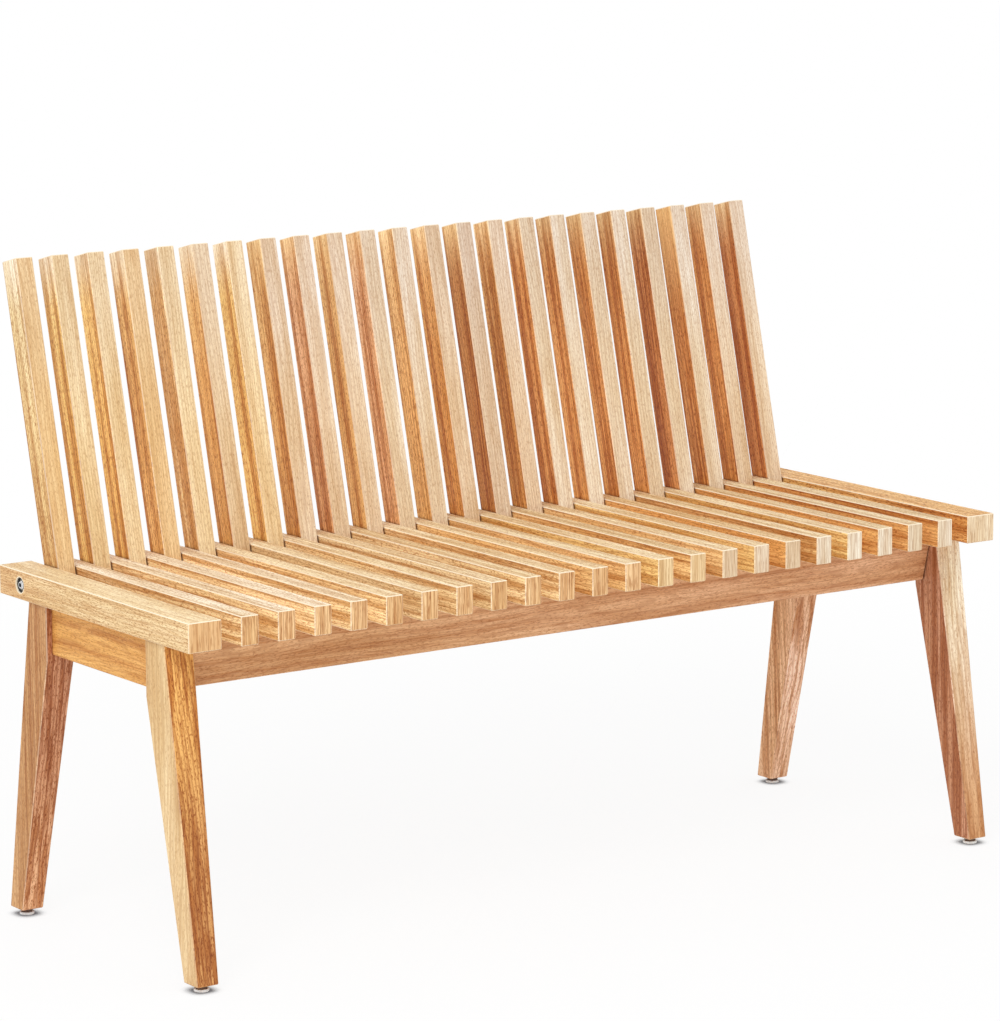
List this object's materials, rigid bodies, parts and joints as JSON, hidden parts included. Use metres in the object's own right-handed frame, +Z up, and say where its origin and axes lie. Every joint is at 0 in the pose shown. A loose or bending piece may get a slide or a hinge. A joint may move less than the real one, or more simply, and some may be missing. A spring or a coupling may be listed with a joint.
{
  "type": "convertible bench",
  "caption": "Slatted garden bench on splayed tapered legs. Its back slats pivot on one axle and fold down between the seat slats to make a flat table top.",
  "frame": {"origin": "on the floor under the middle of the bounding box, back slats upright", "axes": "+X along the bench, -Y the front of the seat, +Z up"},
  "size_m": [1.2, 0.4988, 0.7986],
  "materials": {
    "rail_wood": "oiled hardwood, golden, fine streaks",
    "seat_wood": "oiled hardwood, pale tan tops and warmer sides",
    "back_wood": "oiled hardwood, from cream to red-brown, varied slat to slat",
    "leg_wood": "oiled hardwood, cream to red-brown",
    "apron_wood": "oiled hardwood, mid-brown with flame grain",
    "axle_steel": "drawn stainless bar",
    "fitting_steel": "turned stainless, satin",
    "spacer_nylon": "dark nylon",
    "collar_plastic": "dark brown moulded plastic",
    "glide_nylon": "white nylon, satin"
  },
  "bodies": {
    "bench_frame": {"end_rail_left": "rail_wood", "end_rail_right": "rail_wood", "seat_slat_01": "seat_wood", "seat_slat_02": "seat_wood", "seat_slat_03": "seat_wood", "seat_slat_04": "seat_wood", "seat_slat_05": "seat_wood", "seat_slat_06": "seat_wood", "seat_slat_07": "seat_wood", "seat_slat_08": "seat_wood", "seat_slat_09": "seat_wood", "seat_slat_10": "seat_wood", "seat_slat_11": "seat_wood", "seat_slat_12": "seat_wood", "seat_slat_13": "seat_wood", "seat_slat_14": "seat_wood", "seat_slat_15": "seat_wood", "seat_slat_16": "seat_wood", "seat_slat_17": "seat_wood", "seat_slat_18": "seat_wood", "seat_slat_19": "seat_wood", "seat_slat_20": "seat_wood", "seat_slat_21": "seat_wood", "seat_slat_22": "seat_wood", "leg_front_left": "leg_wood", "leg_front_right": "leg_wood", "leg_rear_left": "leg_wood", "leg_rear_right": "leg_wood", "apron_front": "apron_wood", "apron_rear": "apron_wood", "apron_left": "apron_wood", "apron_right": "apron_wood", "foot_collars": "collar_plastic", "foot_glides": "glide_nylon", "axle_rod": "axle_steel", "axle_end_fittings": "fitting_steel", "axle_spacers": "spacer_nylon"},
    "back_01": {"back_slat_01": "back_wood"},
    "back_02": {"back_slat_02": "back_wood"},
    "back_03": {"back_slat_03": "back_wood"},
    "back_04": {"back_slat_04": "back_wood"},
    "back_05": {"back_slat_05": "back_wood"},
    "back_06": {"back_slat_06": "back_wood"},
    "back_07": {"back_slat_07": "back_wood"},
    "back_08": {"back_slat_08": "back_wood"},
    "back_09": {"back_slat_09": "back_wood"},
    "back_10": {"back_slat_10": "back_wood"},
    "back_11": {"back_slat_11": "back_wood"},
    "back_12": {"back_slat_12": "back_wood"},
    "back_13": {"back_slat_13": "back_wood"},
    "back_14": {"back_slat_14": "back_wood"},
    "back_15": {"back_slat_15": "back_wood"},
    "back_16": {"back_slat_16": "back_wood"},
    "back_17": {"back_slat_17": "back_wood"},
    "back_18": {"back_slat_18": "back_wood"},
    "back_19": {"back_slat_19": "back_wood"},
    "back_20": {"back_slat_20": "back_wood"},
    "back_21": {"back_slat_21": "back_wood"},
    "back_22": {"back_slat_22": "back_wood"},
    "back_23": {"back_slat_23": "back_wood"}
  },
  "joints": [
    {"name": "back_slat_01_fold", "type": "hinge", "parent": "bench_frame", "child": "back_01", "pos_m": [-0.54301, 0.14058, 0.4159], "axis": [1, 0, 0], "range_deg": [0, 103.7]},
    {"name": "back_slat_02_fold", "type": "hinge", "parent": "bench_frame", "child": "back_02", "pos_m": [-0.49364, 0.14058, 0.4159], "axis": [1, 0, 0], "range_deg": [0, 103.7]},
    {"name": "back_slat_03_fold", "type": "hinge", "parent": "bench_frame", "child": "back_03", "pos_m": [-0.44428, 0.14058, 0.4159], "axis": [1, 0, 0], "range_deg": [0, 103.7]},
    {"name": "back_slat_04_fold", "type": "hinge", "parent": "bench_frame", "child": "back_04", "pos_m": [-0.39492, 0.14058, 0.4159], "axis": [1, 0, 0], "range_deg": [0, 103.7]},
    {"name": "back_slat_05_fold", "type": "hinge", "parent": "bench_frame", "child": "back_05", "pos_m": [-0.34555, 0.14058, 0.4159], "axis": [1, 0, 0], "range_deg": [0, 103.7]},
    {"name": "back_slat_06_fold", "type": "hinge", "parent": "bench_frame", "child": "back_06", "pos_m": [-0.29619, 0.14058, 0.4159], "axis": [1, 0, 0], "range_deg": [0, 103.7]},
    {"name": "back_slat_07_fold", "type": "hinge", "parent": "bench_frame", "child": "back_07", "pos_m": [-0.24682, 0.14058, 0.4159], "axis": [1, 0, 0], "range_deg": [0, 103.7]},
    {"name": "back_slat_08_fold", "type": "hinge", "parent": "bench_frame", "child": "back_08", "pos_m": [-0.19746, 0.14058, 0.4159], "axis": [1, 0, 0], "range_deg": [0, 103.7]},
    {"name": "back_slat_09_fold", "type": "hinge", "parent": "bench_frame", "child": "back_09", "pos_m": [-0.14809, 0.14058, 0.4159], "axis": [1, 0, 0], "range_deg": [0, 103.7]},
    {"name": "back_slat_10_fold", "type": "hinge", "parent": "bench_frame", "child": "back_10", "pos_m": [-0.09873, 0.14058, 0.4159], "axis": [1, 0, 0], "range_deg": [0, 103.7]},
    {"name": "back_slat_11_fold", "type": "hinge", "parent": "bench_frame", "child": "back_11", "pos_m": [-0.04936, 0.14058, 0.4159], "axis": [1, 0, 0], "range_deg": [0, 103.7]},
    {"name": "back_slat_12_fold", "type": "hinge", "parent": "bench_frame", "child": "back_12", "pos_m": [0, 0.14058, 0.4159], "axis": [1, 0, 0], "range_deg": [0, 103.7]},
    {"name": "back_slat_13_fold", "type": "hinge", "parent": "bench_frame", "child": "back_13", "pos_m": [0.04936, 0.14058, 0.4159], "axis": [1, 0, 0], "range_deg": [0, 103.7]},
    {"name": "back_slat_14_fold", "type": "hinge", "parent": "bench_frame", "child": "back_14", "pos_m": [0.09873, 0.14058, 0.4159], "axis": [1, 0, 0], "range_deg": [0, 103.7]},
    {"name": "back_slat_15_fold", "type": "hinge", "parent": "bench_frame", "child": "back_15", "pos_m": [0.14809, 0.14058, 0.4159], "axis": [1, 0, 0], "range_deg": [0, 103.7]},
    {"name": "back_slat_16_fold", "type": "hinge", "parent": "bench_frame", "child": "back_16", "pos_m": [0.19746, 0.14058, 0.4159], "axis": [1, 0, 0], "range_deg": [0, 103.7]},
    {"name": "back_slat_17_fold", "type": "hinge", "parent": "bench_frame", "child": "back_17", "pos_m": [0.24682, 0.14058, 0.4159], "axis": [1, 0, 0], "range_deg": [0, 103.7]},
    {"name": "back_slat_18_fold", "type": "hinge", "parent": "bench_frame", "child": "back_18", "pos_m": [0.29619, 0.14058, 0.4159], "axis": [1, 0, 0], "range_deg": [0, 103.7]},
    {"name": "back_slat_19_fold", "type": "hinge", "parent": "bench_frame", "child": "back_19", "pos_m": [0.34555, 0.14058, 0.4159], "axis": [1, 0, 0], "range_deg": [0, 103.7]},
    {"name": "back_slat_20_fold", "type": "hinge", "parent": "bench_frame", "child": "back_20", "pos_m": [0.39492, 0.14058, 0.4159], "axis": [1, 0, 0], "range_deg": [0, 103.7]},
    {"name": "back_slat_21_fold", "type": "hinge", "parent": "bench_frame", "child": "back_21", "pos_m": [0.44428, 0.14058, 0.4159], "axis": [1, 0, 0], "range_deg": [0, 103.7]},
    {"name": "back_slat_22_fold", "type": "hinge", "parent": "bench_frame", "child": "back_22", "pos_m": [0.49364, 0.14058, 0.4159], "axis": [1, 0, 0], "range_deg": [0, 103.7]},
    {"name": "back_slat_23_fold", "type": "hinge", "parent": "bench_frame", "child": "back_23", "pos_m": [0.54301, 0.14058, 0.4159], "axis": [1, 0, 0], "range_deg": [0, 103.7]}
  ]
}
